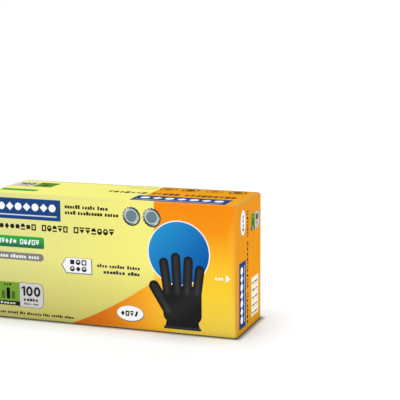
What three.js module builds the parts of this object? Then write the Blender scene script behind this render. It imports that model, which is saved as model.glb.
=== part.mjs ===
// A carton of a hundred disposable gloves, standing on one of its long narrow sides.
//
// Millimetres. +X runs along the carton, -Y is its large printed front, +Z is up. The origin is
// on the ground, under the middle of the carton. The carton is one sheet of board, folded into
// a tube with four flaps at each end. Every panel between two creases is a mesh of its own,
// because each crease is a hinge. The gloves lie flat against each other inside the tube.
import * as THREE from "three";

// The closed carton, outside
const LENGTH = 240;
const DEPTH = 73;
const HEIGHT = 118;

// The board and the play between two faces of it that lie together
const BOARD = 0.5;
const PLAY = 0.15;

// Flaps, measured from their creases
const INNER_FLAP_LENGTH = 43;
const DUST_FLAP_LENGTH = 34;
const DUST_FLAP_FRONT_TAPER = 30;
const DUST_FLAP_BACK_TAPER = 45;
const DUST_FLAP_SETBACK = 1.5;
const OUTER_FLAP_TRIM = 0.4;
const INNER_FLAP_TRIM = 1;
const GLUE_FLAP_WIDTH = 16;
const GLUE_FLAP_TAPER = 5;

// The tear-out in the front: an oblong, round at the left and creased at the right
const TEAR_LENGTH = 110;
const TEAR_HEIGHT = 48;
const TEAR_RIGHT_RADIUS = 14;
const THUMB_RADIUS = 10;
const PERFORATION = 0.3;

// A medium glove, flat, from the cuff's edge to the middle fingertip
const GLOVE_LENGTH = 234;
const GLOVE_PITCH = 0.62;
const GLOVE_AIR = 0.26;
const SINGLE_GLOVES = 30;
const BUNDLES = 7;
const GLOVES_IN_BUNDLE = 10;
const CUFF_HALF_WIDTH = 44;
const WRIST_HALF_WIDTH = 41.5;
const WRIST_FROM_CUFF = 52;
const PALM_FROM_CUFF = 102;
const PALM_EDGE = 46.2;
const THUMB_CROTCH = [119, 40.5];
const THUMB_HEEL = [90, 50];

// Each finger: where the middle of its base and of its round tip lie (along the glove from the
// cuff, then across it), and half its width
const FINGERS = [
  { base: [146, -36.8], tip: [185, -38.5], half: 9.2 },
  { base: [150, -13.6], tip: [213, -15.2], half: 9.6 },
  { base: [151, 10.0], tip: [GLOVE_LENGTH - 10.2, 10.4], half: 10.2 },
  { base: [145, 33.8], tip: [208, 36.6], half: 9.8 },
];
const THUMB = { base: [108, 43], tip: [148, 56], half: 10 };
const ARC_STEPS = 3;

// Planes worked out from the above. An end closes in three layers, each inside the last:
// the outer flap, the inner flap and the two dust flaps. The tube's narrow sides stop
// just inside them.
const END = LENGTH / 2;
const FRONT = -DEPTH / 2;
const BACK = DEPTH / 2;
const LAYER = BOARD + PLAY;
const INNER_FLAP_OUTSIDE = END - LAYER;
const DUST_FLAP_OUTSIDE = END - 2 * LAYER;
const NARROW_SIDE_END = END - 3 * LAYER;
const TEAR_LEFT = -TEAR_LENGTH / 2;
const TEAR_RIGHT = TEAR_LENGTH / 2;
const TEAR_MIDDLE = HEIGHT / 2;

const PRINTED_YELLOW = { color: 0xf0e47a, roughness: 0.45, metalness: 0 };
const PRINTED_ORANGE = { color: 0xf08c28, roughness: 0.45, metalness: 0 };
const PLAIN_BOARD = { color: 0xb8b0a0, roughness: 0.9, metalness: 0 };
const BLACK_NITRILE = { color: 0x17181a, roughness: 0.55, metalness: 0 };

const radians = THREE.MathUtils.degToRad;

function polygon(points) {
  return new THREE.Shape(points.map(([a, b]) => new THREE.Vector2(a, b)));
}

function rectangle(a0, a1, b0, b1) {
  return polygon([[a0, b0], [a1, b0], [a1, b1], [a0, b1]]);
}

function mesh(name, shape, thickness, look) {
  const options = { depth: thickness, bevelEnabled: false, curveSegments: ARC_STEPS };
  const made = new THREE.Mesh(
    new THREE.ExtrudeGeometry(shape, options),
    new THREE.MeshStandardMaterial(look),
  );
  made.name = name;
  return made;
}

// A sheet that lies flat: its outline is in X and Y, and its underside is at height z.
function levelSheet(name, shape, thickness, z, look) {
  const made = mesh(name, shape, thickness, look);
  made.position.z = z;
  return made;
}

// A sheet that faces the front: its outline is in X and Z, and its rear face is at y.
function frontalSheet(name, shape, thickness, y, look) {
  const made = mesh(name, shape, thickness, look);
  made.rotation.x = Math.PI / 2;
  made.position.y = y;
  return made;
}

// A sheet that closes an end: its outline is in Y and Z, and its outer face is the given
// distance from the carton's middle.
function endSheet(name, shape, side, outside, look) {
  const made = mesh(name, shape, BOARD, look);
  const turn = new THREE.Matrix4().makeBasis(
    new THREE.Vector3(0, 1, 0),
    new THREE.Vector3(0, 0, 1),
    new THREE.Vector3(1, 0, 0),
  );
  made.quaternion.setFromRotationMatrix(turn);
  made.position.x = side > 0 ? outside - BOARD : -outside;
  return made;
}

// The oblong with its thumb bulge, drawn smaller than the cut by inset. The bulge is left
// out for the tear-out itself, whose left end is then cut straight where the thumb tab folds.
function tearOutline(path, inset, withThumb) {
  const low = TEAR_MIDDLE - TEAR_HEIGHT / 2 + inset;
  const high = TEAR_MIDDLE + TEAR_HEIGHT / 2 - inset;
  const left = TEAR_LEFT + inset;
  const right = TEAR_RIGHT - inset;
  const leftRadius = (high - low) / 2;
  const rightRadius = TEAR_RIGHT_RADIUS - inset;
  const thumb = THUMB_RADIUS - inset;
  const foldX = foldOfThumb();
  const foldAngle = Math.asin(thumb / leftRadius);
  path.moveTo(left + leftRadius, low);
  path.lineTo(right - rightRadius, low);
  path.absarc(right - rightRadius, low + rightRadius, rightRadius, -Math.PI / 2, 0, false);
  path.lineTo(right, high - rightRadius);
  path.absarc(right - rightRadius, high - rightRadius, rightRadius, 0, Math.PI / 2, false);
  path.lineTo(left + leftRadius, high);
  const centre = left + leftRadius;
  path.absarc(centre, TEAR_MIDDLE, leftRadius, Math.PI / 2, Math.PI - foldAngle, false);
  if (withThumb) {
    path.lineTo(foldX, TEAR_MIDDLE + thumb);
    path.absarc(foldX, TEAR_MIDDLE, thumb, Math.PI / 2, (3 * Math.PI) / 2, false);
  }
  path.absarc(centre, TEAR_MIDDLE, leftRadius, Math.PI + foldAngle, (3 * Math.PI) / 2, false);
  path.closePath();
  return path;
}

// Where the thumb tab folds: the chord of the oblong's round end that is as tall as the tab.
function foldOfThumb() {
  const radius = TEAR_HEIGHT / 2;
  const reach = Math.sqrt(radius ** 2 - THUMB_RADIUS ** 2);
  return TEAR_LEFT + radius - reach - PERFORATION;
}

function frontPanel() {
  const half = END - LAYER;
  const shape = rectangle(-half, half, 0, HEIGHT);
  shape.holes.push(tearOutline(new THREE.Path(), 0, true));
  return frontalSheet("front_panel", shape, BOARD, FRONT + BOARD, PRINTED_YELLOW);
}

function dispenserFlap() {
  const shape = tearOutline(new THREE.Shape(), PERFORATION, false);
  return frontalSheet("dispenser_flap", shape, BOARD, FRONT + BOARD, PRINTED_YELLOW);
}

function thumbTab() {
  const radius = THUMB_RADIUS - PERFORATION;
  const shape = new THREE.Shape();
  shape.absarc(foldOfThumb(), TEAR_MIDDLE, radius, Math.PI / 2, (3 * Math.PI) / 2, false);
  shape.closePath();
  return frontalSheet("thumb_tab", shape, BOARD, FRONT + BOARD, PRINTED_YELLOW);
}

function narrowSide(name, z) {
  const half = DEPTH / 2 - LAYER;
  const shape = rectangle(-NARROW_SIDE_END, NARROW_SIDE_END, -half, half);
  return levelSheet(name, shape, BOARD, z, PRINTED_YELLOW);
}

function backPanel() {
  const half = INNER_FLAP_OUTSIDE - LAYER;
  return frontalSheet("back_panel", rectangle(-half, half, 0, HEIGHT), BOARD, BACK, PRINTED_YELLOW);
}

// The seam of the tube: a strip that folds down from the top panel, behind the back panel.
function glueFlap() {
  const top = HEIGHT - LAYER;
  const low = top - GLUE_FLAP_WIDTH;
  const half = NARROW_SIDE_END - 1;
  const shape = polygon([
    [-half + GLUE_FLAP_TAPER, low],
    [half - GLUE_FLAP_TAPER, low],
    [half, top],
    [-half, top],
  ]);
  return frontalSheet("glue_flap", shape, BOARD, BACK - LAYER, PLAIN_BOARD);
}

// One of the two dust flaps of an end. Its sides taper, so that it folds in and out past
// the crease of the inner flap behind it and of the outer flap in front of it.
function dustFlap(name, side, crease, towards) {
  const front = FRONT + DUST_FLAP_SETBACK;
  const back = BACK - DUST_FLAP_SETBACK;
  const tip = crease + towards * DUST_FLAP_LENGTH;
  const frontTip = front + DUST_FLAP_LENGTH * Math.tan(radians(DUST_FLAP_FRONT_TAPER));
  const backTip = back - DUST_FLAP_LENGTH * Math.tan(radians(DUST_FLAP_BACK_TAPER));
  const shape = polygon([[front, crease], [back, crease], [backTip, tip], [frontTip, tip]]);
  return endSheet(name, shape, side, DUST_FLAP_OUTSIDE, PLAIN_BOARD);
}

// The four flaps of one end. The outer flap is creased on the front panel and covers the
// whole end, the inner flap is creased on the back panel, and the dust flaps on the
// narrow sides.
function endFlaps(hand, side) {
  const outer = rectangle(FRONT, BACK - OUTER_FLAP_TRIM, OUTER_FLAP_TRIM, HEIGHT - OUTER_FLAP_TRIM);
  const inner = rectangle(BACK - INNER_FLAP_LENGTH, BACK, INNER_FLAP_TRIM, HEIGHT - INNER_FLAP_TRIM);
  const flaps = new THREE.Group();
  flaps.add(endSheet(`${hand}_outer_flap`, outer, side, END, PRINTED_ORANGE));
  flaps.add(endSheet(`${hand}_inner_flap`, inner, side, INNER_FLAP_OUTSIDE, PLAIN_BOARD));
  flaps.add(dustFlap(`${hand}_top_dust_flap`, side, HEIGHT, -1));
  flaps.add(dustFlap(`${hand}_bottom_dust_flap`, side, 0, 1));
  return flaps;
}

// A glove's place in the carton: the cuff is at the right end, the fingers point left, and
// the thumb is up or down.
function inCarton([along, across], thumbSide) {
  const [low, high] = [-PALM_EDGE, THUMB.tip[1] + THUMB.half];
  const x = GLOVE_LENGTH / 2 - along;
  const z = HEIGHT / 2 + (across - (low + high) / 2) * thumbSide;
  return new THREE.Vector2(x, z);
}

// Points of a finger's outline: up one side, round the tip and down the other side. The
// thumb starts from its crotch, so its own base points are left out.
function fingerOutline({ base, tip, half }, withBase) {
  const angle = Math.atan2(tip[1] - base[1], tip[0] - base[0]);
  const edge = ([a, b], turn) => [
    a + half * Math.cos(angle + turn),
    b + half * Math.sin(angle + turn),
  ];
  const points = [];
  const steps = 2 * ARC_STEPS;
  for (let i = 0; i <= steps; i++) {
    points.push(edge(tip, -Math.PI / 2 + (Math.PI * i) / steps));
  }
  if (withBase) {
    points.unshift(edge(base, -Math.PI / 2));
    points.push(edge(base, Math.PI / 2));
  }
  return points;
}

function gloveShape(thumbSide) {
  const points = [
    [0, -CUFF_HALF_WIDTH],
    [WRIST_FROM_CUFF, -WRIST_HALF_WIDTH],
    [PALM_FROM_CUFF, -PALM_EDGE],
    ...FINGERS.flatMap((finger) => fingerOutline(finger, true)),
    THUMB_CROTCH,
    ...fingerOutline(THUMB, false),
    THUMB_HEEL,
    [WRIST_FROM_CUFF, WRIST_HALF_WIDTH],
    [0, CUFF_HALF_WIDTH],
  ];
  return new THREE.Shape(points.map((point) => inCarton(point, thumbSide)));
}

// The stack, from the back of the carton to the front: bundles of ten first, then gloves one
// by one, so that those behind the tear-out are separate.
function gloves() {
  const stack = new THREE.Group();
  let rear = BACK - 2 * LAYER;
  const lay = (name, count, thumbSide) => {
    const thickness = count * GLOVE_PITCH - GLOVE_AIR;
    stack.add(frontalSheet(name, gloveShape(thumbSide), thickness, rear, BLACK_NITRILE));
    rear -= count * GLOVE_PITCH;
  };
  for (let i = BUNDLES; i >= 1; i--) {
    lay(`glove_bundle_${i}`, GLOVES_IN_BUNDLE, i % 2 ? 1 : -1);
  }
  for (let i = SINGLE_GLOVES; i >= 1; i--) {
    lay(`glove_${String(i).padStart(2, "0")}`, 1, i % 2 ? 1 : -1);
  }
  return stack;
}

const carton = new THREE.Group();
carton.add(frontPanel());
carton.add(dispenserFlap());
carton.add(thumbTab());
carton.add(narrowSide("top_panel", HEIGHT - BOARD));
carton.add(narrowSide("bottom_panel", 0));
carton.add(backPanel());
carton.add(glueFlap());
carton.add(endFlaps("right", 1));
carton.add(endFlaps("left", -1));
carton.add(gloves());

export default carton;
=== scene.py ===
"""Looks of a dispenser carton of a hundred disposable gloves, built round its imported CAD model.

Lengths are in millimetres until a mesh is made, which is in metres. Each panel of board is drawn
flat, in its own (u, v), together with its print. The drawing is cut into triangles along every
printed edge, and the triangles are then laid on the carton and wrapped round its creases.
"""

import math
import random

import bpy
import numpy as np
from mathutils import Matrix, Vector
from mathutils.geometry import delaunay_2d_cdt


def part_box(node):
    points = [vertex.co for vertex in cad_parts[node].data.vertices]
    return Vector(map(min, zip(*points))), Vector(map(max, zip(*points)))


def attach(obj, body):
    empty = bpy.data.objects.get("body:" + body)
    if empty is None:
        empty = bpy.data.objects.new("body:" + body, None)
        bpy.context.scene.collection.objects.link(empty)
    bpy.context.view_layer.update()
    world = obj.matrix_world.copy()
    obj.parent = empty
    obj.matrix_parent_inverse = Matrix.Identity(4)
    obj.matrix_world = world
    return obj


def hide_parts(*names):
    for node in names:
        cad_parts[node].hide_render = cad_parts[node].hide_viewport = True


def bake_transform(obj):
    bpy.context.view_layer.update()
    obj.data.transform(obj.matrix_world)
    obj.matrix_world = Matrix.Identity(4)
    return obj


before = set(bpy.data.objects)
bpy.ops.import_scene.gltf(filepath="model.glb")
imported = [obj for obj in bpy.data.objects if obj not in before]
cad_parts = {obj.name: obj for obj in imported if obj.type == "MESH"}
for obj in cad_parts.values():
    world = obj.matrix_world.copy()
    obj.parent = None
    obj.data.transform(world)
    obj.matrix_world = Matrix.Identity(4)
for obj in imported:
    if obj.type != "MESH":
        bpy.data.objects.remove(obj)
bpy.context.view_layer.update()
MM = 0.001


# ---- sizes, from the CAD model

def cad(node):
    """A node's lowest and highest corner in millimetres."""
    low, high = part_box(node)
    return low / MM, high / MM


(_, FRONT, _), (_, front_inside, HEIGHT) = cad("front_panel")
(_, _, OUTER_LOW), (END, OUTER_EDGE, OUTER_HIGH) = cad("right_outer_flap")
(_, INNER_EDGE, INNER_LOW), (INNER_OUTSIDE, _, INNER_HIGH) = cad("right_inner_flap")
(_, DUST_FRONT, dust_low), (DUST_OUTSIDE, DUST_BACK, _) = cad("right_top_dust_flap")
(_, _, SEAM_LOW), (SEAM_END, SEAM, _) = cad("glue_flap")
(_, _, FLAP_LOW), (FLAP_FOLD, _, FLAP_HIGH) = cad("dispenser_flap")
(_, _, thumb_low), (THUMB_FOLD, _, thumb_high) = cad("thumb_tab")
BACK = cad("back_panel")[1].y
NARROW_END = cad("top_panel")[1].x
BOARD = front_inside - FRONT
DUST_LENGTH = HEIGHT - dust_low
THUMB_RADIUS = (thumb_high - thumb_low) / 2
MIDDLE = HEIGHT / 2

# A crease's outer radius, the length of its quarter turn, and the parts it is drawn in
RADIUS = 1.1
QUARTER = RADIUS * math.pi / 2
PARTS = 4
BEFORE_CREASE = 0.6


# ---- colours

def linear(colour):
    """sRGB from 0 to 255, as linear light from 0 to 1."""
    c = np.asarray(colour, float) / 255
    return np.where(c <= 0.04045, c / 12.92, ((c + 0.055) / 1.055) ** 2.4)


def between(t, low, high):
    """From colour low at t = 0 to colour high at t = 1."""
    t = np.clip(t, 0, 1)[..., None]
    return (1 - t) * np.array(low, float) + t * np.array(high, float)


def along(t, *stops):
    """A colour that changes with t through stops, each (t, colour)."""
    places = [s[0] for s in stops]
    return np.stack([np.interp(t, places, [s[1][i] for s in stops]) for i in range(3)], -1)


def near_line(u, v, a, b, width):
    """1 on the line from a to b, falling off over width beside it."""
    a, d = np.array(a, float), np.array(b, float) - np.array(a, float)
    t = np.clip(((u - a[0]) * d[0] + (v - a[1]) * d[1]) / (d @ d), 0, 1)
    return np.exp(-((u - a[0] - t * d[0]) ** 2 + (v - a[1] - t * d[1]) ** 2) / width**2)


INK_BLACK = (40, 38, 34)
INK_BLUE = (31, 68, 128)
INK_WHITE = (244, 245, 247)
INK_STRIP = (206, 216, 230)
INK_GREY = (128, 128, 124)
PLAIN_WHITE = (236, 234, 226)


# ---- flat shapes

def rect(u0, v0, u1, v1):
    return [(u0, v0), (u1, v0), (u1, v1), (u0, v1)]


def arc(u, v, radius, start, end, steps):
    """Points of an arc, angles in degrees."""
    turns = np.radians(np.linspace(start, end, steps + 1))
    return [(u + radius * math.cos(a), v + radius * math.sin(a)) for a in turns]


def rounded(u0, v0, u1, v1, radius, count=4):
    """A rectangle with four round corners, or with only the two on the right round."""
    corners = [(u1, v0, -90), (u1, v1, 0), (u0, v1, 90), (u0, v0, 180)]
    made = []
    for u, v, start in corners[:count]:
        u += radius if u == u0 else -radius
        v += radius if v == v0 else -radius
        made += arc(u, v, radius, start, start + 90, 4)
    return made + [(u0, v1), (u0, v0)] * (count == 2)


def oval(u, v, across, up, steps=48, wave=0.0, waves=20):
    turns = [2 * math.pi * i / steps for i in range(steps)]
    return [
        (u + across * (1 + wave * math.cos(waves * a)) * math.cos(a),
         v + up * (1 + wave * math.cos(waves * a)) * math.sin(a))
        for a in turns
    ]


def capsule(a, b, radius, steps=12):
    """A bar with round ends, from a to b."""
    (u0, v0), (u1, v1) = a, b
    turn = math.degrees(math.atan2(v1 - v0, u1 - u0))
    ahead = arc(u1, v1, radius, turn - 90, turn + 90, steps)
    return ahead + arc(u0, v0, radius, turn + 90, turn + 270, steps)


def inside(loops, u, v):
    """Which points lie inside the loops, by the even-odd rule."""
    hit = np.zeros(len(u), bool)
    for loop in loops:
        p = np.array(loop, float)
        for (u0, v0), (u1, v1) in zip(p, np.roll(p, -1, axis=0)):
            if v0 == v1:
                continue
            crosses = (v0 > v) != (v1 > v)
            hit ^= crosses & (u < (u1 - u0) * (v - v0) / (v1 - v0) + u0)
    return hit


class Print:
    """The print on one face: a ground colour, and shapes laid on it one after another."""

    def __init__(self, ground):
        self.ground = ground
        self.shapes = []
        self.fine = []
        self.turn = None

    def add(self, ink, *loops):
        if self.turn:
            loops = [[self.turn(u, v) for u, v in loop] for loop in loops]
        self.shapes.append((loops, ink))

    def detail(self, u0, v0, u1, v1, step):
        """Asks for triangles no larger than step there, for the sake of a colour that changes."""
        self.fine.append((u0, v0, u1, v1, step))

    def words(self, u, v, width, height, counts, ink, seed, weight=0.0):
        """Groups of blocks, or of marks of that weight, in place of a line of words."""
        chance = random.Random(seed)
        pitch = width / (sum(counts) + 0.75 * (len(counts) - 1))
        for count in counts:
            for _ in range(count):
                if weight:
                    self.mark(u, v, pitch * 0.84, height, ink, chance, weight)
                else:
                    tall = chance.choice((0.7, 0.7, 0.78, 1.0))
                    self.add(ink, rect(u, v, u + pitch * chance.uniform(0.62, 0.88), v + height * tall))
                u += pitch
            u += 0.75 * pitch

    def mark(self, u, v, width, height, ink, chance, weight):
        """One of eight plain geometric marks, two of them twice as likely."""
        s = height * weight
        u1, v1, mid_u, mid_v = u + width, v + height, u + width / 2, v + height / 2
        half = width / 2
        kind = chance.choice(("half ring", "half ring", "square", "dome", "arrow",
                              "slant", "frame", "frame", "diamond", "disc"))
        if kind == "half ring":
            upper = arc(0, 0, 1, 0, 180, 8)
            hole = [(mid_u + (half - s) * x, mid_v + (height / 2 - s) * y) for x, y in upper]
            self.add(ink, oval(mid_u, mid_v, half, height / 2, 20), hole)
        elif kind == "square":
            side = half * 0.85
            self.add(ink, rect(mid_u - side, mid_v - side, mid_u + side, mid_v + side))
        elif kind == "dome":
            dome = arc(0, 0, 1, 0, 180, 10)
            self.add(ink, [(mid_u + half * x, v1 - 0.55 * height * (1 - y)) for x, y in dome])
            self.add(ink, rect(u, v, u1, v + s))
        elif kind == "arrow":
            self.add(ink, [(u, v1 - s * 1.6), (mid_u, v), (u1, v1 - s * 1.6)])
            self.add(ink, rect(u, v1 - s, u1, v1))
        elif kind == "slant":
            self.add(ink, [(u, v), (u + width * 0.55, v), (u1, v1), (u1 - width * 0.55, v1)])
        elif kind == "frame":
            self.add(ink, rect(u, v, u1, v1), rect(u + s, v + s, u1 - s, v1 - s))
        elif kind == "diamond":
            self.add(ink, [(u, mid_v), (mid_u, v), (u1, mid_v), (mid_u, v1)])
        else:
            self.add(ink, oval(mid_u, mid_v, half * 0.95, half * 0.95, 18))


# ---- the print's colours

def yellow_ground(u, v):
    """Yellow, paler towards the left and duller towards the bottom."""
    left = between(0.45 * np.clip((20 - u) / 140, 0, 1.1), (243, 237, 128), (190, 194, 160))
    low = 0.6 * np.clip((60 - v) / 60, 0, 1)[..., None]
    return left * (1 - low) + np.array((170, 160, 85)) * low


def orange_ground(u, v):
    """Orange at the top, golden lower down."""
    return along(v, (6, (234, 202, 76)), (40, (246, 207, 52)), (60, (250, 196, 50)), (66, (248, 191, 44)),
                 (81, (247, 170, 34)), (93, (245, 150, 24)), (115, (244, 140, 20)))


def sweep_ink(u, v):
    """The swoosh at the bottom: burnt orange at its tip, golden at its root."""
    tip = along(u, (-36, (203, 103, 22)), (-5, (211, 113, 30)), (10, (219, 132, 30)),
                (22, (231, 150, 36)), (40, (241, 172, 44)), (66, (244, 203, 56)))
    return tip + np.clip((v - 12) / 30, 0, 1)[..., None] * np.array((8, 4, 0))


def green_ink(u, v):
    return along(v, (68, (38, 96, 84)), (73, (50, 148, 70)), (77, (48, 168, 64)))


# The picture's disc
DISC = (66.9, 72.9)
DISC_RADIUS = 28.2


def disc_ink(u, v):
    """Plain blue, lighter towards the upper left."""
    return between(0.5 + ((u - DISC[0]) - (v - DISC[1])) / 80, (40, 146, 206), (14, 88, 164))


def shaded(base, lights):
    """A grey ink with light or shade beside lines, each (from, to, width, shade)."""
    def ink(u, v):
        c = np.broadcast_to(np.array((base, base - 0.6, base + 0.8)), u.shape + (3,))
        for a, b, width, shade in lights:
            c = c + shade * near_line(u, v, a, b, width)[..., None]
        return np.clip(c, 5, 90)
    return ink


def fingers():
    """Four straight fingers that fan out from a palm, and a thumb, each (from, to, radius)."""
    made = []
    for k, long in enumerate((26.0, 31.0, 28.5, 21.0)):
        lean = math.radians(5 * (k - 1.5))
        root = (70 + 9.2 * (k - 1.5), 38.0)
        made.append((root, (root[0] + long * math.sin(lean), root[1] + long * math.cos(lean)), 4.4))
    return made + [((57.0, 20.0), (43.5, 42.0), 5.0)]


PALM = (51.9, 10.0, 88.1, 44.0)
FINGERS = fingers()
GLOVE_INK = shaded(31, [(a, b, 2.4, 24) for a, b, _ in FINGERS] + [((60, 18), (80, 34), 9.0, 9)])


def silver_ink(u0, v0):
    """Polished silver round a middle, bright at the upper left and the lower right."""
    def ink(u, v):
        a = np.arctan2(v - v0, u - u0)
        t = np.cos(a - 2.45) ** 2 * (0.85 + 0.15 * np.cos(6 * a))
        return between(t, (58, 64, 62), (240, 246, 248))
    return ink


def end_ground(u, v):
    return along(v, (4, (210, 152, 28)), (26, (230, 158, 24)), (60, (238, 153, 18)), (112, (232, 150, 26)))


def top_orange(u, v):
    return along(v, (-36, (243, 165, 4)), (0, (239, 158, 6)), (34, (226, 160, 4)))


def top_yellow(u, v):
    return between((v + 36) / 72 * 0.5, (244, 239, 128), (243, 240, 136))


# ---- the print on each face

def banner(sheet, u0, v0, u1, v1):
    """A blue field with a row of discs and diamonds over a thin pale rule."""
    sheet.add(INK_BLUE, rect(u0, v0, u1, v1))
    tall, count = v1 - v0, 7
    sheet.add(INK_STRIP, rect(u0 + 4, v0 + 0.17 * tall, u1 - 4, v0 + 0.23 * tall))
    pitch = (u1 - u0 - 8) / count
    size = 0.2 * tall
    for k in range(count):
        u, v = u0 + 4 + pitch * (k + 0.5), v0 + 0.6 * tall
        diamond = [(u - size, v), (u, v - size), (u + size, v), (u, v + size)]
        sheet.add(INK_WHITE, diamond if k % 2 else oval(u, v, size * 0.9, size * 0.9, 24))


def medallion(sheet, u, v, radius):
    sheet.add((92, 92, 56), oval(u + 0.8, v - 0.9, radius * 0.98, radius * 0.98))
    sheet.add((66, 72, 70), oval(u, v, radius, radius, 96, 0.045, 16))
    sheet.add(silver_ink(u, v), oval(u, v, radius * 0.93, radius * 0.93, 48))
    for share, ink in ((0.80, (84, 98, 100)), (0.75, (214, 226, 230)), (0.66, (108, 132, 137))):
        sheet.add(ink, oval(u, v, radius * share, radius * share, 36))
    sheet.detail(u - radius, v - radius, u + radius, v + radius, 1.3)


def digits(sheet, u, v, width, height, ink):
    """The count: a hundred."""
    s = height * 0.23
    one = width * 0.2
    stem = u + one - s
    flag = u - s * 0.1
    sheet.add(ink, [(stem, v), (stem + s, v), (stem + s, v + height), (stem + s * 0.25, v + height),
                    (flag, v + height * 0.84), (flag, v + height * 0.68), (stem, v + height * 0.78)])
    nought = (width - one) / 2
    for k in range(2):
        middle = u + one + nought * (k + 0.53)
        half = nought * 0.43
        sheet.add(ink, oval(middle, v + height / 2, half, height / 2 * 1.03, 28),
                  oval(middle, v + height / 2, half - s, height / 2 * 1.03 - s, 28))


def size_and_count(sheet, u, v, width, height, seed):
    """A green square that marks the middle one of three sizes, and the count beside it."""
    green, strip = width * 0.51, height * 0.19
    split = u + green
    sheet.add((120, 120, 118), rounded(split - 1, v - 0.9, u + width + 0.7, v + height + 0.5, 4.6, 2))
    sheet.add((202, 201, 199), rounded(split, v - 0.4, u + width, v + height, 4.2, 2))
    sheet.add((117, 157, 54), rect(u, v, split, v + height))
    sheet.add((36, 35, 34), rect(u, v, split, v + strip))
    bar, low = green * 0.15, v + strip + height * 0.08
    for k in range(3):
        tall, ink = (0.48, (10, 12, 8)) if k == 1 else (0.34, (74, 108, 34))
        left = u + green * (0.23 + 0.21 * k)
        sheet.add(ink, rounded(left, low, left + bar, low + height * tall, bar * 0.3))
    sheet.words(u + green * 0.35, v + height * 0.85, green * 0.32, height * 0.09, [3], (34, 44, 20), seed)
    sheet.words(u + green * 0.18, v + strip * 0.28, green * 0.66, strip * 0.5, [5], (206, 208, 204), seed + 1)
    grey = width - green
    digits(sheet, split + 1.8, v + height * 0.455, grey - 4.0, height * 0.41, (30, 32, 31))
    sheet.words(split + 3.9, v + height * 0.235, grey - 8.4, height * 0.15, [5], (58, 58, 60), seed + 2)
    sheet.words(split + 4.2, v + height * 0.075, grey - 8.8, height * 0.1, [4, 3], (92, 92, 98), seed + 3)


def picture(sheet):
    """A flat glove, fingers up, in front of a plain disc."""
    for ink, radius in ((INK_WHITE, DISC_RADIUS + 1), (disc_ink, DISC_RADIUS)):
        sheet.add(ink, oval(*DISC, radius, radius, 72))
    sheet.detail(38, 44, 96, 102, 4)
    sheet.add(GLOVE_INK, [(55.4, 14), (53.6, 5), (86.4, 5), (84.6, 14)])
    sheet.add(GLOVE_INK, rounded(*PALM, 7))
    for a, b, radius in FINGERS:
        sheet.add(GLOVE_INK, capsule(a, b, radius))
    sheet.add((52, 52, 54), capsule((53.6, 5), (86.4, 5), 1.3))
    sheet.detail(38, 4, 92, 76, 1.8)


def large_face(opening):
    """The print of the two large faces. Only the front's says where it opens."""
    sheet = Print(yellow_ground)
    sheet.add(orange_ground, rect(44, -8, 130, 130))
    curve = [(u, 0.6 + 0.4 * (u + 37.4) + 0.002 * (u + 37.4) ** 2) for u in range(-58, 67, 4)]
    sheet.add(sweep_ink, curve + [(66, -12), (-58, -12)])
    sheet.detail(-30, -2, 60, 50, 5)
    banner(sheet, -115, 94.4, -46.7, 113.8)
    medallion(sheet, 22.5, 103.6, 8.2)
    medallion(sheet, 41.8, 103.5, 8.2)
    for u, width, count in ((-115, 44.0, 8), (-66.0, 27.0, 5), (-34.0, 40.6, 7)):
        sheet.words(u, 84.5, width, 5.9, [count], (32, 30, 28), 20 + count, 0.225)
    sheet.add((96, 170, 96), rounded(-115.4, 67.6, -64, 78.5, 1.6))
    sheet.add(green_ink, rounded(-115, 68, -64.3, 78.2, 1.3))
    sheet.detail(-115, 68, -64.3, 78.2, 3)
    sheet.add(INK_GREY, rounded(-115, 55.9, -64.8, 62.9, 3.4))
    size_and_count(sheet, -115.4, 12, 48.6, 22.3, 60)
    picture(sheet)
    sheet.add((130, 118, 104), oval(20.3, 14.3, 13.4, 7.5))
    sheet.add(INK_WHITE, oval(20, 14.6, 12.8, 6.9))
    for row in (
        (-42.3, 107.0, 42.5, 3.5, [6, 5, 4], INK_BLACK, 5),
        (-42.3, 101.6, 52.8, 3.5, [4, 9, 5], INK_BLACK, 6),
        (-112, 70.9, 43.5, 4.7, [5, 5], INK_WHITE, 12, 0.2),
        (-112, 57.8, 43, 3.3, [4, 6, 4], (238, 238, 236), 14),
        (-115, 4.2, 79.2, 2.6, [5, 6, 3, 8, 4, 6, 5], INK_BLACK, 15),
        (-11.4, 54.9, 42, 3.3, [4, 6, 5], (48, 46, 62), 31),
        (-5.3, 49.4, 36, 3.3, [7, 4], (48, 46, 62), 33),
        (11.0, 11.9, 17.6, 4.9, [4], INK_BLACK, 17, 0.25),
    ):
        sheet.words(*row)
    if opening:
        tip = [(-47.2, 54.8), (-42.2, 62.2), (-16.6, 62.2), (-16.6, 47.3), (-42.2, 47.3)]
        shadow = [(u + (0.25 if u > -40 else -0.1), v - 0.3) for u, v in tip]
        sheet.add((128, 126, 124), shadow)
        sheet.add(INK_WHITE, [(-46.2, 54.8), (-41.8, 61.5), (-17.4, 61.5), (-17.4, 48.0), (-41.8, 48.0)])
        sheet.words(-38.6, 55.3, 17.6, 5.0, [3], (40, 38, 46), 18, 0.23)
        sheet.words(-38.6, 49.1, 17.6, 5.0, [3], (40, 38, 46), 19, 0.23)
        sheet.words(100.5, 51.5, 8.6, 3.2, [3], INK_WHITE, 20)
        sheet.add(INK_WHITE, [(110.4, 49.9), (114.8, 53.3), (110.4, 56.6)])
    return sheet


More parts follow.
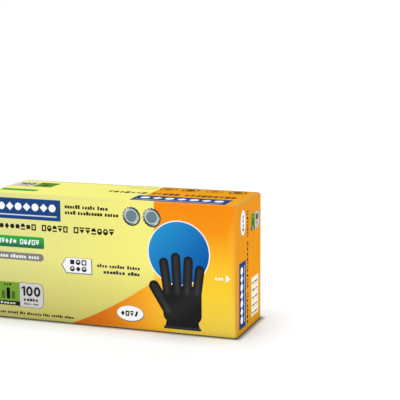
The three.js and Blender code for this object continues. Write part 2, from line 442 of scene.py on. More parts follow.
def narrow_face():
    """The print of the two narrow sides, which reads from behind."""
    sheet = Print(top_yellow)
    sheet.add(top_orange, [(44.4, -40), (44.4, -30), (26, -14), (26, 40), (130, 40), (130, -40)])
    banner(sheet, 20, -35, 109, -11)
    sheet.words(-14.8, -4.6, 124, 8.6, [7, 5, 9], (44, 28, 8), 73, 0.3)
    for u, ink in ((34, (150, 76, 10)), (55.6, (56, 16, 0)), (79.4, (176, 104, 22)), (101.4, (56, 18, 0))):
        sheet.add(ink, oval(u, 26.4, 8.6, 7.2, 32), oval(u, 26.4, 7.2, 5.6, 32))
        sheet.add(ink, oval(u, 26.4, 4.4, 3.4, 24))
    sheet.words(-8, 25.8, 31, 3.0, [6, 4], (176, 172, 96), 75)
    sheet.words(-3, 20.6, 26, 2.4, [3, 6], (176, 172, 96), 76)
    sheet.add((117, 157, 54), rect(-95.5, 2.5, -75.5, 25))
    sheet.add((36, 35, 34), rect(-95.5, 21, -75.5, 25))
    for k in range(3):
        low, ink = (5.5, (16, 18, 14)) if k == 1 else (7, (78, 112, 36))
        sheet.add(ink, rounded(-92 + 4.8 * k, low, -88.6 + 4.8 * k, 18, 1.0))
    sheet.add((206, 206, 192), rounded(-116.4, 2.5, -95.5, 25, 3))
    digits(sheet, -113, 11.5, 15, 9, (40, 40, 40))
    sheet.words(-112, 6, 13, 2.6, [5], (80, 80, 80), 78)
    sheet.add((72, 168, 76), rounded(-116.4, -21, -79.5, -12, 1.3))
    sheet.words(-113, -18.8, 30, 4.4, [5, 5], (40, 112, 60), 79, 0.24)
    return sheet


def end_face():
    """The print of the two ends. Its banner reads upwards."""
    sheet = Print(end_ground)
    sheet.add((150, 104, 50), oval(-16.8, 99.3, 7.8, 12.2))
    sheet.add(INK_WHITE, oval(-17, 99.6, 7.2, 11.6))
    sheet.turn = lambda u, v: (-v, u)
    sheet.words(92.0, 14.7, 15, 4.6, [4], INK_BLACK, 91, 0.26)
    banner(sheet, 5, 9, 65, 28.5)
    sheet.words(5, 1.6, 104, 4.6, [6, 9, 5], INK_BLACK, 94, 0.18)
    sheet.turn = None
    sheet.add((246, 240, 222), rect(8, 8, 29, 44))
    for k in range(5):
        sheet.words(10, 38 - 7 * k, 17, 2.4, [4, 3] if k % 2 else [3, 5], (96, 84, 60), 95 + k)
        sheet.add((170, 150, 110), rect(10, 36.2 - 7 * k, 27, 36.5 - 7 * k))
    size_and_count(sheet, 6, 88, 25, 15, 110)
    return sheet


def plain_face(ink, loop):
    """An unprinted flap: white coating, with the print's bleed beside its crease."""
    sheet = Print(PLAIN_WHITE)
    sheet.add(ink, loop)
    return sheet


# ---- laying a flat drawing on the carton

class Face:
    """A face of the carton. (u, v) run right and up as it is seen from outside, from origin. Beyond the
    flat part, the board rolls round a crease towards the inside."""

    def __init__(self, origin, right, up, flat_u=(-999, 999), flat_v=(-999, 999), bow=0.0):
        self.origin = np.array(origin, float)
        self.right, self.up = np.array(right, float), np.array(up, float)
        self.out = np.cross(self.right, self.up)
        self.flat_u, self.flat_v, self.bow = flat_u, flat_v, bow

    @staticmethod
    def roll(t, flat, depth):
        """Where a point lies along the face, how far under it, and how far the board has turned."""
        low, high = flat
        over = np.clip(t - high, 0, QUARTER) - np.clip(low - t, 0, QUARTER)
        angle = over / RADIUS
        radius = RADIUS - depth
        place = np.clip(t, low, high) + radius * np.sin(angle)
        return place, RADIUS - radius * np.cos(angle), angle

    def place(self, u, v, depth):
        pu, down_u, _ = self.roll(u, self.flat_u, depth)
        pv, down_v, _ = self.roll(v, self.flat_v, depth)
        rise = -(down_u + down_v - depth)
        if self.bow:
            mid_u, half_u = sum(self.flat_u) / 2, (self.flat_u[1] - self.flat_u[0]) / 2
            mid_v, half_v = sum(self.flat_v) / 2, (self.flat_v[1] - self.flat_v[0]) / 2
            share = np.clip(1 - ((u - mid_u) / half_u) ** 2, 0, 1)
            share = share * np.clip(1 - ((v - mid_v) / half_v) ** 2, 0, 1)
            rise = rise + self.bow * share
        return self.origin + np.outer(pu, self.right) + np.outer(pv, self.up) + np.outer(rise, self.out)

    def normal(self, u, v):
        au, av = self.roll(u, self.flat_u, 0)[2], self.roll(v, self.flat_v, 0)[2]
        n = np.outer(np.cos(au) * np.cos(av), self.out)
        n = n + np.outer(np.sin(au), self.right) + np.outer(np.sin(av), self.up)
        return n / np.linalg.norm(n, axis=1)[:, None]

    def wear(self, u, v):
        """1 on the middle of a crease, 0 on the flat."""
        total = np.zeros(len(u))
        for t, (low, high) in ((u, self.flat_u), (v, self.flat_v)):
            past = np.maximum(t - high, low - t)
            total = np.maximum(total, np.clip(1 - np.abs(past - QUARTER / 2) / (QUARTER / 2 + 0.5), 0, 1))
        return total


def crease_lines(end, towards):
    """The lines to draw across a crease that starts at end of the flat part."""
    return [end - towards * BEFORE_CREASE] + [end + towards * QUARTER * k / PARTS for k in range(PARTS)]


def arrange(loops, sheet, lines_u=(), lines_v=(), grid=8.0):
    """Cuts the region inside loops into triangles along every printed edge.
    Gives points, triangles and, for each triangle, which shape it shows, or -1 for the ground."""
    outline = np.array(loops[0], float)
    (u0, v0), (u1, v1) = outline.min(0), outline.max(0)
    points, edges = [], []

    def add(loop):
        n, size = len(points), len(loop)
        points.extend(loop)
        edges.extend((n + i, n + (i + 1) % size) for i in range(size))

    for loop in loops:
        add(loop)
    shapes = []
    for k, (shape, _) in enumerate(sheet.shapes):
        p = np.concatenate([np.array(loop, float) for loop in shape])
        (a0, b0), (a1, b1) = p.min(0), p.max(0)
        if a0 < u1 and a1 > u0 and b0 < v1 and b1 > v0:
            shapes.append((k, shape, (a0, b0, a1, b1)))
            for loop in shape:
                add(loop)
    for u in lines_u:
        add([(u, v0 - 1), (u, v1 + 1)])
    for v in lines_v:
        add([(u0 - 1, v), (u1 + 1, v)])
    for a0, b0, a1, b1, step in [(u0, v0, u1, v1, grid)] + sheet.fine:
        a0, b0, a1, b1 = max(a0, u0), max(b0, v0), min(a1, u1), min(b1, v1)
        for j in range(int(max(0, b1 - b0) / (step * 0.87))):
            for i in range(int(max(0, a1 - a0) / step)):
                points.append((a0 + step * (i + 0.25 + 0.5 * (j % 2)), b0 + step * 0.87 * (j + 0.5)))
    made = delaunay_2d_cdt([Vector(p) for p in points], edges, [], 0, 1e-4, False)
    uv = np.array([tuple(p) for p in made[0]], float)
    tris = np.array(made[2], int)
    a, b, c = uv[tris[:, 0]], uv[tris[:, 1]], uv[tris[:, 2]]
    area = (b[:, 0] - a[:, 0]) * (c[:, 1] - a[:, 1]) - (b[:, 1] - a[:, 1]) * (c[:, 0] - a[:, 0])
    tris[area < 0] = tris[area < 0][:, ::-1]
    centre = (a + b + c) / 3
    keep = inside(loops, centre[:, 0], centre[:, 1]) & (np.abs(area) > 1e-9)
    tris, centre = tris[keep], centre[keep]
    shown = np.full(len(tris), -1)
    for k, shape, (a0, b0, a1, b1) in shapes:
        cu, cv = centre[:, 0], centre[:, 1]
        some = np.nonzero((cu > a0) & (cu < a1) & (cv > b0) & (cv < b1))[0]
        if len(some):
            shown[some[inside(shape, cu[some], cv[some])]] = k
    used, tris = np.unique(tris, return_inverse=True)
    return uv[used], tris.reshape(-1, 3), shown


def rim_of(tris):
    """The directed edges that belong to one triangle only."""
    directed = {(t[i], t[(i + 1) % 3]) for t in tris.tolist() for i in range(3)}
    return sorted(e for e in directed if (e[1], e[0]) not in directed)


def mesh_object(name, verts, faces, materials, indices, normals=None):
    """A mesh object. verts are in millimetres."""
    mesh = bpy.data.meshes.new(name)
    mesh.from_pydata((np.asarray(verts) * MM).tolist(), [], faces)
    for material in materials:
        mesh.materials.append(material)
    mesh.polygons.foreach_set("material_index", np.asarray(indices, np.int32))
    mesh.shade_smooth()
    if normals is not None:
        mesh.normals_split_custom_set(normals)
    obj = bpy.data.objects.new(name, mesh)
    bpy.context.scene.collection.objects.link(obj)
    return obj


def board(name, face, loops, sheet, lines_u=(), lines_v=(), grid=8.0):
    """A panel of board with print outside, bare grey inside and raw cut edges. It stands for its CAD node."""
    uv, tris, shown = arrange(loops, sheet, lines_u, lines_v, grid)
    n = len(uv)
    u, v = uv[:, 0], uv[:, 1]
    verts = np.concatenate([face.place(u, v, 0.0), face.place(u, v, BOARD)])
    walls = [(b, a, a + n, b + n) for a, b in rim_of(tris)]
    faces = tris.tolist() + (tris[:, ::-1] + n).tolist() + walls
    indices = [0] * len(tris) + [1] * len(tris) + [2] * len(walls)
    facing = face.normal(u, v)
    wall_normals = []
    for b, a, a2, _ in walls:
        w = np.cross(verts[a] - verts[b], verts[a2] - verts[a])
        wall_normals += [w / max(np.linalg.norm(w), 1e-9)] * 4
    normals = np.concatenate([facing[tris.ravel()], -facing[tris[:, ::-1].ravel()], np.array(wall_normals)])
    obj = mesh_object(name, verts, faces, (PRINTED, REVERSE, RAW_EDGE), indices, normals)

    colours = np.full((len(normals), 4), 0.5)
    corners, tops = tris.ravel(), np.repeat(shown, 3)
    for k in np.unique(shown):
        ink = sheet.ground if k < 0 else sheet.shapes[k][1]
        some = np.nonzero(tops == k)[0]
        at = uv[corners[some]]
        colours[some, :3] = linear(ink(at[:, 0], at[:, 1]) if callable(ink) else ink)
    colours[: len(corners), 3] = face.wear(u, v)[corners]
    layer = obj.data.color_attributes.new("ink", "FLOAT_COLOR", "CORNER")
    layer.data.foreach_set("color", colours.astype(np.float32).ravel())
    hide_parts(name)
    return obj


# ---- materials

class Nodes:
    """A material and the means to wire it."""

    def __init__(self, name):
        self.material = bpy.data.materials.new(name)
        self.material.use_nodes = True
        self.tree = self.material.node_tree
        self.shader = self.tree.nodes["Principled BSDF"]
        self.coords = self.tree.nodes.new("ShaderNodeTexCoord").outputs["Object"]

    def link(self, source, target):
        self.tree.links.new(source, target)

    def put(self, socket, value):
        """Gives a socket a value, or another node's output."""
        if isinstance(value, bpy.types.NodeSocket):
            self.link(value, socket)
        else:
            socket.default_value = value

    def node(self, kind, inputs=None, **settings):
        made = self.tree.nodes.new("ShaderNode" + kind)
        for key, value in settings.items():
            setattr(made, key, value)
        for key, value in (inputs or {}).items():
            self.put(made.inputs[key], value)
        return made

    def noise(self, scale, detail=3.0, roughness=0.6, stretch=None):
        at = self.coords
        if stretch:
            at = self.node("Mapping", {"Vector": at, "Scale": stretch}).outputs[0]
        made = self.node("TexNoise", {"Vector": at, "Scale": scale, "Detail": detail, "Roughness": roughness})
        return made.outputs[0]

    def cells(self, scale, feature):
        made = self.node("TexVoronoi", {"Vector": self.coords, "Scale": scale}, feature=feature)
        return made.outputs["Distance"]

    def spread(self, value, low, high, to_low, to_high):
        return self.node("MapRange", {0: value, 1: low, 2: high, 3: to_low, 4: to_high}).outputs[0]

    def mix(self, share, first, second, blend="MIX"):
        made = self.node("Mix", {}, data_type="RGBA", blend_type=blend)
        for index, value in ((0, share), (6, first), (7, second)):
            self.put(made.inputs[index], value)
        return made.outputs[2]

    def math(self, operation, first, second):
        return self.node("Math", {0: first, 1: second}, operation=operation).outputs[0]

    def bump(self, height, strength, distance, before=None):
        made = self.node("Bump", {"Height": height, "Strength": strength, "Distance": distance})
        if before is not None:
            self.link(before, made.inputs["Normal"])
        return made.outputs[0]

    def set(self, **values):
        for key, value in values.items():
            self.put(self.shader.inputs[key.replace("_", " ")], value)


def rgb(colour):
    return (*linear(colour), 1.0)


def printed_board():
    """Coated board: ink with a faint fibre grain, a satin varnish, and pale cracks along creases."""
    n = Nodes("printed_board")
    ink = n.node("Attribute", attribute_name="ink")
    grain = n.spread(n.noise(900, 4, 0.7), 0.3, 0.7, 0.965, 1.03)
    cloud = n.spread(n.noise(14, 2, 0.5), 0.3, 0.7, 0.985, 1.015)
    tone = n.math("MULTIPLY", grain, cloud)
    shade = n.node("CombineColor", {0: tone, 1: tone, 2: tone}).outputs[0]
    colour = n.mix(1.0, ink.outputs["Color"], shade, "MULTIPLY")
    cracked = n.spread(n.noise(420, 5, 0.75), 0.44, 0.62, 0.10, 0.85)
    worn = n.math("MULTIPLY", ink.outputs["Alpha"], cracked)
    colour = n.mix(n.spread(worn, 0.0, 1.0, 0.0, 0.22), colour, rgb((238, 228, 205)))
    n.set(Base_Color=colour, Roughness=n.spread(n.noise(260, 4, 0.6), 0.3, 0.7, 0.36, 0.5))
    n.set(Specular_IOR_Level=0.0, Coat_Weight=0.045, Coat_Roughness=0.2, Coat_IOR=1.5)
    fibre = n.bump(n.noise(1500, 4, 0.7), 0.25, 0.00004)
    wave = n.bump(n.noise(28, 2, 0.5), 0.3, 0.0006, fibre)
    n.set(Normal=wave)
    return n.material


def bare_board(name, base, fleck, amount):
    """The recycled grey side or a cut edge: matt, with fibres and flecks."""
    n = Nodes(name)
    fibres = n.noise(700, 6, 0.8, (1.0, 1.0, 2.4))
    colour = n.mix(n.spread(fibres, 0.35, 0.7, 0.0, 1.0), rgb(base), rgb(fleck))
    colour = n.mix(n.spread(n.cells(420.0, "F1"), 0.0, 0.16, amount, 0.0), colour, rgb((96, 88, 78)))
    n.set(Base_Color=colour, Roughness=0.88, Specular_IOR_Level=0.25)
    n.set(Normal=n.bump(fibres, 0.45, 0.00012))
    return n.material


def nitrile():
    """Black nitrile film: satin, finely textured, creased from folding, and with a painted sheen, pale grey
    streaks on the top glove's wrinkle crests.
    """
    n = Nodes("nitrile")
    tone = n.mix(n.spread(n.noise(60, 4, 0.6), 0.3, 0.7, 0.0, 1.0), rgb((20, 20, 22)), rgb((33, 33, 36)))
    # Painted sheen: the top glove's crests are mixed towards pale grey in streaks, as if lit
    painted_crest_sheen = n.node("Attribute", attribute_name="crest_height_and_sheen").outputs["Fac"]
    sheen_streaks = n.spread(n.noise(120, 5, 0.6, (0.6, 1.0, 1.6)), 0.35, 0.65, 0.25, 1.0)
    painted_sheen_share = n.math("MULTIPLY", n.spread(painted_crest_sheen, 0.25, 0.95, 0.0, 0.8), sheen_streaks)
    n.set(Base_Color=n.mix(painted_sheen_share, tone, rgb((72, 72, 76))))
    n.set(Roughness=n.spread(n.noise(180, 4, 0.6), 0.3, 0.7, 0.3, 0.5), Specular_IOR_Level=0.5)
    pebble = n.bump(n.cells(1300.0, "SMOOTH_F1"), 0.22, 0.00005)
    folds = n.bump(n.noise(75, 5, 0.55, (1.0, 0.15, 2.2)), 0.7, 0.0016, pebble)
    n.set(Normal=folds)
    return n.material


PRINTED = printed_board()
REVERSE = bare_board("board_reverse", (186, 178, 162), (160, 151, 136), 0.35)
RAW_EDGE = bare_board("board_edge", (206, 198, 180), (172, 160, 140), 0.2)
NITRILE = nitrile()


# ---- the tear-out's cut line

# Each cut and the nick after it, the nick, how fast one turns into the other, and half the cut's width
DASH = 5.0
NICK = 0.8
STEP = 0.05
GAP = 0.025


def cut_line(pieces, gap, nicked):
    """A fine polyline, moved aside by gap where the board is cut, and not where a nick holds it."""
    p = np.array(pieces, float)
    steps = np.linalg.norm(np.diff(p, axis=0), axis=1)
    s = np.concatenate([[0], np.cumsum(steps)])
    total = s[-1]
    stops = [0.0, total]
    count = max(1, round(total / DASH))
    pitch = total / count
    for k in range(count):
        start = k * pitch
        end = start + pitch
        stops += [start + NICK / 2, start + NICK / 2 + STEP, end - NICK / 2 - STEP, end - NICK / 2]
        stops += [start + pitch * f for f in (0.3, 0.5, 0.7)]
    stops = np.array(sorted(set(stops + s.tolist())))
    u, v = np.interp(stops, s, p[:, 0]), np.interp(stops, s, p[:, 1])
    ahead = np.minimum(stops + 0.2, total)
    behind = np.maximum(stops - 0.2, 0)
    du = np.interp(ahead, s, p[:, 0]) - np.interp(behind, s, p[:, 0])
    dv = np.interp(ahead, s, p[:, 1]) - np.interp(behind, s, p[:, 1])
    size = np.hypot(du, dv)
    phase = np.minimum(stops % pitch, pitch - stops % pitch)
    open_share = np.clip((phase - NICK / 2) / STEP, 0, 1) if nicked else np.ones(len(stops))
    side = gap * open_share
    return list(zip(u + side * dv / size, v - side * du / size))


def cut_parts(gap):
    """The tear-out's perforation above and below the thumb tab, and the thumb tab's cut. All run
    anticlockwise, so that a positive gap moves them outwards."""
    slack = 0.15
    low, high = FLAP_LOW - slack, FLAP_HIGH + slack
    radius = (high - low) / 2
    corner = 13.85
    right = FLAP_FOLD + slack
    thumb = THUMB_RADIUS + slack
    middle = THUMB_FOLD + 0.4 + math.sqrt(radius**2 - thumb**2)
    turn = math.degrees(math.asin(thumb / radius))
    upper = arc(right - corner, high - corner, corner, 0, 90, 14)
    upper += arc(middle, MIDDLE, radius, 90, 180 - turn, 24)
    lower = arc(middle, MIDDLE, radius, 180 + turn, 270, 24)
    lower += arc(right - corner, low + corner, corner, 270, 360, 14)
    tab = arc(THUMB_FOLD, MIDDLE, thumb, 90, 270, 24)
    return cut_line(upper, gap, True), cut_line(tab, gap, False), cut_line(lower, gap, True)


FOLD_TONGUE = FLAP_FOLD + 0.9


def tear_loops():
    """Outlines of the hole in the front, the tear-out and the thumb tab."""
    upper, tab, lower = cut_parts(GAP)
    tongue = [(FOLD_TONGUE, lower[-1][1]), (FOLD_TONGUE, upper[0][1])]
    hole = tongue + upper + tab + lower
    upper, tab, lower = cut_parts(-GAP)
    fold = [(THUMB_FOLD, tab[0][1]), (THUMB_FOLD, tab[-1][1])]
    flap = tongue + upper + fold + lower
    return hole, flap, tab


# ---- the carton

def mirrored(half):
    """A whole outline from its right half."""
    return half + [(-u, v) for u, v in reversed(half)]


def build_tube():
    half, edge = END - RADIUS, NARROW_END + 0.1
    front = Face((0, FRONT, 0), (1, 0, 0), (0, 0, 1), (-half, half), (RADIUS, HEIGHT - RADIUS), 0.35)
    low, high = RADIUS - QUARTER, HEIGHT - RADIUS + QUARTER
    outline = [(half, 0.9), (half, HEIGHT - 0.9), (edge, HEIGHT - 0.3), (edge, high), (-edge, high),
               (-edge, HEIGHT - 0.3), (-half, HEIGHT - 0.9), (-half, 0.9), (-edge, 0.3), (-edge, low),
               (edge, low), (edge, 0.3)]
    hole, flap, tab = tear_loops()
    front_print = large_face(True)
    across = crease_lines(RADIUS, -1) + crease_lines(HEIGHT - RADIUS, 1)
    panel = board("front_panel", front, [outline, hole], front_print,
                  [BEFORE_CREASE - half, half - BEFORE_CREASE], across)
    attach(panel, "carton")

    flap_piece = board("dispenser_flap", front, [flap], front_print,
                       [FOLD_TONGUE - 0.45 * k for k in range(1, 5)])
    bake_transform(flap_piece)
    tab_piece = board("thumb_tab", front, [tab], front_print,
                      [THUMB_FOLD - 0.35 * k for k in range(1, 4)])
    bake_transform(tab_piece)

    narrow_print = narrow_face()
    side, near = DUST_OUTSIDE - RADIUS, FRONT + RADIUS
    far = SEAM - RADIUS
    top = Face((0, 0, HEIGHT), (1, 0, 0), (0, 1, 0), (-side, side), (near, far), 0.15)
    outline = [(edge, near), (edge, DUST_FRONT - 0.2), (side, DUST_FRONT), (side, DUST_BACK - 0.3),
               (edge - 0.6, far), (edge - 0.6, far + QUARTER)]
    panel = board("top_panel", top, [mirrored(outline)], narrow_print, (),
                  [near + BEFORE_CREASE] + crease_lines(far, 1))
    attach(panel, "carton")

    bottom = Face((0, 0, 0), (1, 0, 0), (0, -1, 0), (-side, side), (near, -near))
    outline = [(edge, near), (edge, -DUST_BACK - 0.2), (side, -DUST_BACK), (side, -DUST_FRONT),
               (edge, 0.2 - DUST_FRONT), (edge, -near)]
    panel = board("bottom_panel", bottom, [mirrored(outline)], narrow_print, (),
                  [near + BEFORE_CREASE, -near - BEFORE_CREASE])
    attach(panel, "carton")

    wide = INNER_OUTSIDE - RADIUS
    back = Face((0, BACK, 0), (-1, 0, 0), (0, 0, 1), (-wide, wide), (RADIUS, HEIGHT + 5))
    outline = [(wide, 1.1), (wide, HEIGHT), (-wide, HEIGHT), (-wide, 1.1),
               (-edge, 0.3), (-edge, low), (edge, low), (edge, 0.3)]
    panel = board("back_panel", back, [outline], large_face(False),
                  [BEFORE_CREASE - wide, wide - BEFORE_CREASE], crease_lines(RADIUS, -1))
    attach(panel, "carton")

    seam = Face((0, SEAM, 0), (-1, 0, 0), (0, 0, 1))
    taper = 5.0
    outline = [(taper - SEAM_END, SEAM_LOW), (SEAM_END - taper, SEAM_LOW), (SEAM_END, HEIGHT - RADIUS - 0.5),
               (edge - 0.6, HEIGHT - RADIUS), (0.6 - edge, HEIGHT - RADIUS),
               (-SEAM_END, HEIGHT - RADIUS - 0.5)]
    bleed = plain_face(lambda u, v: top_yellow(u, v * 0), rect(-130, HEIGHT - 4, 130, HEIGHT + 2))
    panel = board("glue_flap", seam, [outline], bleed)
    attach(panel, "carton")


def build_end(hand, side, end_print):
    """The four flaps of an end. u runs right as seen from outside, so it is mirrored at the left end."""
    right = (0, side, 0)

    def turned(points):
        return [(side * u, v) for u, v in points]

    def flat(low, high):
        return (low, high) if side > 0 else (-high, -low)

    near, far = FRONT + RADIUS, BACK - RADIUS
    face = Face((side * END, 0, 0), right, (0, 0, 1), flat(near, 999), (-5, HEIGHT + 5))
    outline = [(near - QUARTER, 0.9), (near, OUTER_LOW + 0.1), (near + 2, OUTER_LOW),
               (OUTER_EDGE - 0.6, OUTER_LOW), (OUTER_EDGE, OUTER_LOW + 0.6),
               (OUTER_EDGE, OUTER_HIGH - 0.6), (OUTER_EDGE - 0.6, OUTER_HIGH),
               (near + 2, OUTER_HIGH), (near, OUTER_HIGH - 0.1), (near - QUARTER, HEIGHT - 0.9)]
    flap = board(f"{hand}_outer_flap", face, [turned(outline)], end_print,
                 [side * u for u in crease_lines(near, -1)])
    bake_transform(flap)

    face = Face((side * INNER_OUTSIDE, 0, 0), right, (0, 0, 1), flat(-999, far))
    outline = [(far + QUARTER, 1.2), (far + QUARTER, HEIGHT - 1.2), (far, INNER_HIGH - 0.1),
               (far - 3, INNER_HIGH)]
    outline += arc(INNER_EDGE + 4, INNER_HIGH - 4, 4, 90, 180, 8)
    outline += arc(INNER_EDGE + 4, INNER_LOW + 4, 4, 180, 270, 8)
    outline += [(far - 3, INNER_LOW), (far, INNER_LOW + 0.1)]
    bleed = plain_face(end_ground, turned(rect(far - 2.5, -2, far + 4, HEIGHT + 2)))
    flap = board(f"{hand}_inner_flap", face, [turned(outline)], bleed,
                 [side * u for u in crease_lines(far, 1)])
    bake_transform(flap)

    front_slope, back_slope = math.tan(math.radians(30)), math.tan(math.radians(45))
    for level, towards in (("top", -1), ("bottom", 1)):
        crease = HEIGHT if level == "top" else 0.0
        start = crease + towards * RADIUS
        flat_v = (-999, start) if level == "top" else (start, 999)
        face = Face((side * DUST_OUTSIDE, 0, 0), right, (0, 0, 1), (-999, 999), flat_v)

        def at(y, deep):
            return (side * y, crease + towards * deep)

        front_tip = DUST_FRONT + DUST_LENGTH * front_slope
        back_tip = DUST_BACK - DUST_LENGTH * back_slope
        short = DUST_LENGTH - 3
        outline = [at(DUST_FRONT, RADIUS - QUARTER), at(DUST_BACK, RADIUS - QUARTER),
                   at(DUST_BACK - RADIUS, RADIUS), at(DUST_BACK - short * back_slope, short),
                   at(DUST_BACK - (DUST_LENGTH - 0.8) * back_slope - 0.9, DUST_LENGTH - 0.5),
                   at(back_tip - 2.4, DUST_LENGTH), at(front_tip + 1.8, DUST_LENGTH),
                   at(front_tip + 0.1, DUST_LENGTH - 0.7), at(DUST_FRONT + short * front_slope, short),
                   at(DUST_FRONT + RADIUS * front_slope, RADIUS)]
        colour = top_orange if side > 0 else top_yellow
        strip = [at(y, deep) for y, deep in rect(-40, -3, 40, 3.2)]
        bleed = plain_face(lambda u, v: colour(u, side * u), strip)
        flap = board(f"{hand}_{level}_dust_flap", face, [outline], bleed, (),
                     crease_lines(start, -towards))
        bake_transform(flap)


# ---- the gloves

def outline_of(node):
    """The outline, in (x, z), of a CAD sheet that faces the front."""
    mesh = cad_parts[node].data
    front = cad(node)[0].y
    co = np.array([v.co for v in mesh.vertices]) / MM
    flat = np.abs(co[:, 1] - front) < 1e-3
    key = {i: (round(float(co[i, 0]), 3), round(float(co[i, 2]), 3)) for i in np.nonzero(flat)[0]}
    edges = set()
    for face in mesh.polygons:
        names = [key.get(i) for i in face.vertices]
        if None not in names:
            edges.update(zip(names, names[1:] + names[:1]))
    following = {a: b for a, b in edges if (b, a) not in edges}
    start = min(following)
    loop, at = [start], following[start]
    while at != start:
        loop.append(at)
        at = following[at]
    return loop


def set_in(loop, distance):
    """The loop moved inwards by distance."""
    p = np.array(loop, float)
    d = np.roll(p, -1, 0) - np.roll(p, 1, 0)
    n = np.stack([-d[:, 1], d[:, 0]], 1) / np.linalg.norm(d, axis=1)[:, None]
    area = np.sum(p[:, 0] * np.roll(p[:, 1], -1) - p[:, 1] * np.roll(p[:, 0], -1))
    moved = p + n * distance * (1 if area > 0 else -1)
    return [tuple(q) for q in moved]


def denser(loop, longest):
    """The loop with its long stretches divided."""
    made = []
    for a, b in zip(loop, loop[1:] + loop[:1]):
        count = max(1, math.ceil(math.dist(a, b) / longest))
        made += [(a[0] + (b[0] - a[0]) * k / count, a[1] + (b[1] - a[1]) * k / count) for k in range(count)]
    return made


class Ridges:
    """Wrinkles that each glove adds to those under it. They only push forwards, so no two gloves meet."""

    def __init__(self, seed, size, waves, lengths=(18, 60), reach=(60, 34)):
        chance = random.Random(seed)
        self.reach = reach
        self.waves = []
        for _ in range(waves):
            angle = chance.uniform(-0.9, 0.9) + math.pi / 2 * (chance.random() < 0.35)
            k = 2 * math.pi / chance.uniform(*lengths)
            self.waves.append((math.cos(angle) * k, math.sin(angle) * k, chance.uniform(0, 6.3),
                               chance.uniform(0.4, 1.0) * size,
                               chance.uniform(-90, 90), chance.uniform(20, 98)))

    def __call__(self, x, z):
        total = np.zeros(len(x))
        for kx, kz, shift, size, mid_x, mid_z in self.waves:
            crest_height_and_sheen = 0.5 + 0.5 * np.sin(kx * x + kz * z + shift + 0.8 * np.sin(0.031 * x + 0.05 * z + shift))
            here = np.exp(-(((x - mid_x) / self.reach[0]) ** 2 + ((z - mid_z) / self.reach[1]) ** 2))
            total += size * crest_height_and_sheen**3 * here
        return total


def glove_drawing(node, step):
    """Points and triangles of a flat glove, and which points are on its rim."""
    rim = denser(outline_of(node), 6.0)
    sheet = Print(None)
    sheet.add(None, set_in(rim, 0.8))
    uv, tris, _ = arrange([rim], sheet, grid=step)
    lookup = {(round(a, 2), round(b, 2)) for a, b in rim}
    on_rim = np.array([(round(a, 2), round(b, 2)) in lookup for a, b in uv.tolist()])
    return uv, tris, on_rim


def away_from_tab(x, z):
    """0 behind the thumb tab, where nothing may stand in its way when it is pressed, and 1 elsewhere."""
    past = np.hypot(np.maximum(np.abs(x - THUMB_FOLD + 6) - 10, 0),
                    np.maximum(np.abs(z - MIDDLE) - THUMB_RADIUS, 0))
    return 0.5 - 0.5 * np.cos(np.clip(past / 14, 0, 1) * math.pi)


# Half a glove's thickness, the most that wrinkles push one forwards, and how far the top one's crests stand
HALF_THICK = 0.18
MOST_PUSH = 4.4
CREST = 2.8


def build_gloves():
    drawings = {}
    for k, thumb_up in ((1, True), (2, False)):
        node, bundle = f"glove_0{k}", f"glove_bundle_{k}"
        for size, name, step in (("near", node, 2.4), ("single", node, 5.5), ("bundle", bundle, 13.0)):
            drawings[thumb_up, size] = glove_drawing(name, step)
    rumples = Ridges(400, 2.2, 34, (11, 26), (26, 15))
    chance = random.Random(7)
    layers = []
    for b in range(7, 0, -1):
        low, high = cad(f"glove_bundle_{b}")
        pitch = (high.y - low.y + 0.26) / 10
        layers.append((f"glove_bundle_{b}", [high.y - pitch * (k + 0.5) + 0.13 for k in range(10)], True))
    for g in range(30, 0, -1):
        low, high = cad(f"glove_{g:02d}")
        layers.append((f"glove_{g:02d}", [(low.y + high.y) / 2], False))

    ridges = []
    for name, depths, bundle in layers:
        verts, faces, painted_sheen_per_point = [], [], []
        for y in depths:
            ridges.append(Ridges(len(ridges), 0.03 if bundle else 0.30, 2 if bundle else 4))
            thumb_up = chance.random() < 0.5 if bundle else int(name[-2:]) % 2 == 1
            size = "bundle" if bundle else "near" if name in ("glove_01", "glove_02") else "single"
            uv, tris, on_rim = drawings[thumb_up, size]
            stretch = chance.uniform(0.988, 1.0)
            turn = math.radians(chance.uniform(-0.35, 0.35))
            x, z = uv[:, 0] * stretch + chance.uniform(-0.7, 0.7), uv[:, 1] - MIDDLE
            x, z = x * math.cos(turn) - z * math.sin(turn), x * math.sin(turn) + z * math.cos(turn)
            z = z + MIDDLE + chance.uniform(-0.6, 0.6)
            push = sum(r(x, z) for r in ridges)
            push = MOST_PUSH * (1 - np.exp(-push / MOST_PUSH))
            crest_height_and_sheen = np.zeros(len(uv))
            if name == "glove_01":
                # The top glove's crest heights also set its painted sheen, through the nitrile's colour
                crest_height_and_sheen = 1 - np.exp(-rumples(x, z) / 2.6)
                push = push + CREST * crest_height_and_sheen
            push = push * away_from_tab(x, z)
            painted_sheen_per_point += np.concatenate([crest_height_and_sheen, crest_height_and_sheen]).tolist()
            bead = np.clip((uv[:, 0] - (uv[:, 0].max() - 1.6)) / 0.4, 0, 1)
            thick = np.where(on_rim, 0.05, HALF_THICK) + 0.1 * bead
            n = len(verts)
            count = len(uv)
            verts += np.stack([x, y - push - thick, z], 1).tolist()
            verts += np.stack([x, y - push + thick, z], 1).tolist()
            faces += (tris + n).tolist() + (tris[:, ::-1] + n + count).tolist()
            faces += [(b + n, a + n, a + n + count, b + n + count) for a, b in rim_of(tris)]
        obj = mesh_object(name, verts, faces, (NITRILE,), [0] * len(faces))
        # This attribute carries the painted sheen on the crests to the nitrile material
        obj.data.attributes.new("crest_height_and_sheen", "FLOAT", "POINT").data.foreach_set("value", painted_sheen_per_point)
        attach(obj, "carton")
        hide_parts(name)


# ---- stage

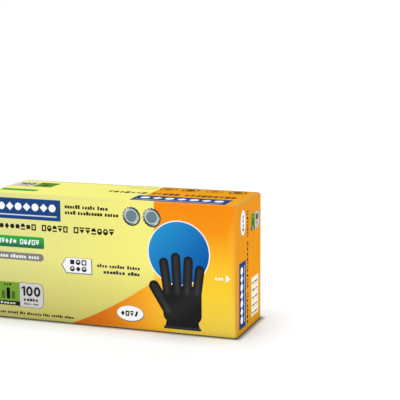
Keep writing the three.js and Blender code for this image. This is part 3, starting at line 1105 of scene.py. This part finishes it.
def build_stage():
    scene = bpy.context.scene
    n = Nodes("floor")
    # The distance from the carton's footprint. Within 6 mm of it the floor's colour darkens to near black, a
    # painted contact shadow; further out the floor glows more and more, so its rendered shadows are soft and
    # short, and the floor is white beyond them
    past = n.node("VectorMath", {0: n.coords}, operation="ABSOLUTE").outputs[0]
    for operation, second in (("SUBTRACT", (END * MM, BACK * MM, 0)), ("MAXIMUM", (0, 0, 0))):
        past = n.node("VectorMath", {0: past, 1: second}, operation=operation).outputs[0]
    distance = n.node("VectorMath", {0: past}, operation="LENGTH").outputs["Value"]
    near = n.spread(distance, 0.002, 0.035, 0.0, 0.8)
    far = n.math("MAXIMUM", near, n.spread(distance, 0.035, 0.6, 0.0, 1.0))
    # Painted contact shadow: the floor's colour goes from pale grey to near black within 6 mm of the
    # footprint
    painted_contact_shadow = n.spread(distance, 0.0, 0.006, 1.0, 0.0)
    n.set(Base_Color=n.mix(painted_contact_shadow, (0.93, 0.93, 0.93, 1.0), (0.06, 0.055, 0.05, 1.0)))
    n.set(Roughness=0.75, Specular_IOR_Level=0.1)
    light = n.node("Emission", {"Color": (1, 1, 1, 1), "Strength": 1.03})
    mixed = n.node("MixShader", {0: far, 1: n.shader.outputs[0], 2: light.outputs[0]})
    n.link(mixed.outputs[0], n.tree.nodes["Material Output"].inputs["Surface"])
    steps = 96
    ring = [(u, v, -0.05) for u, v in oval(0, 0, 9000.0, 9000.0, steps)]
    floor = mesh_object("floor", ring, [list(range(steps))], (n.material,), [0])

    world = bpy.data.worlds.new("studio")
    world.use_nodes = True
    sky = world.node_tree.nodes["Background"].inputs
    sky["Color"].default_value = (1.0, 1.0, 1.0, 1.0)
    sky["Strength"].default_value = 1.0
    scene.world = world

    lamps = (("key", (-0.5, -1.5, 1.3), 1.6, 2.4), ("fill", (1.6, -0.6, 0.9), 1.4, 1.4))
    for name, place, size, power in lamps:
        lamp = bpy.data.lights.new(name, "AREA")
        lamp.shape = "SQUARE"
        lamp.size = size
        lamp.energy = power
        obj = bpy.data.objects.new(name, lamp)
        obj.location = place
        obj.rotation_euler = (Vector((0, 0, 0.06)) - Vector(place)).to_track_quat("-Z", "Y").to_euler()
        scene.collection.objects.link(obj)

    camera = bpy.data.cameras.new("camera")
    camera.sensor_width = 36.0
    camera.lens = 106.86
    camera.clip_start, camera.clip_end = 0.01, 60.0
    obj = bpy.data.objects.new("camera", camera)
    right = Vector((0.942736, 0.333487, -0.005971))
    up = Vector((-0.052887, 0.167133, 0.984515))
    basis = Matrix((right, up, right.cross(up))).transposed()
    obj.matrix_world = Matrix.Translation((0.42471, -0.98773, 0.30108)) @ basis.to_4x4()
    scene.collection.objects.link(obj)
    scene.camera = obj
    scene.view_settings.view_transform = "Standard"


build_tube()
ends = end_face()
build_end("right", 1, ends)
build_end("left", -1, ends)
build_gloves()
build_stage()
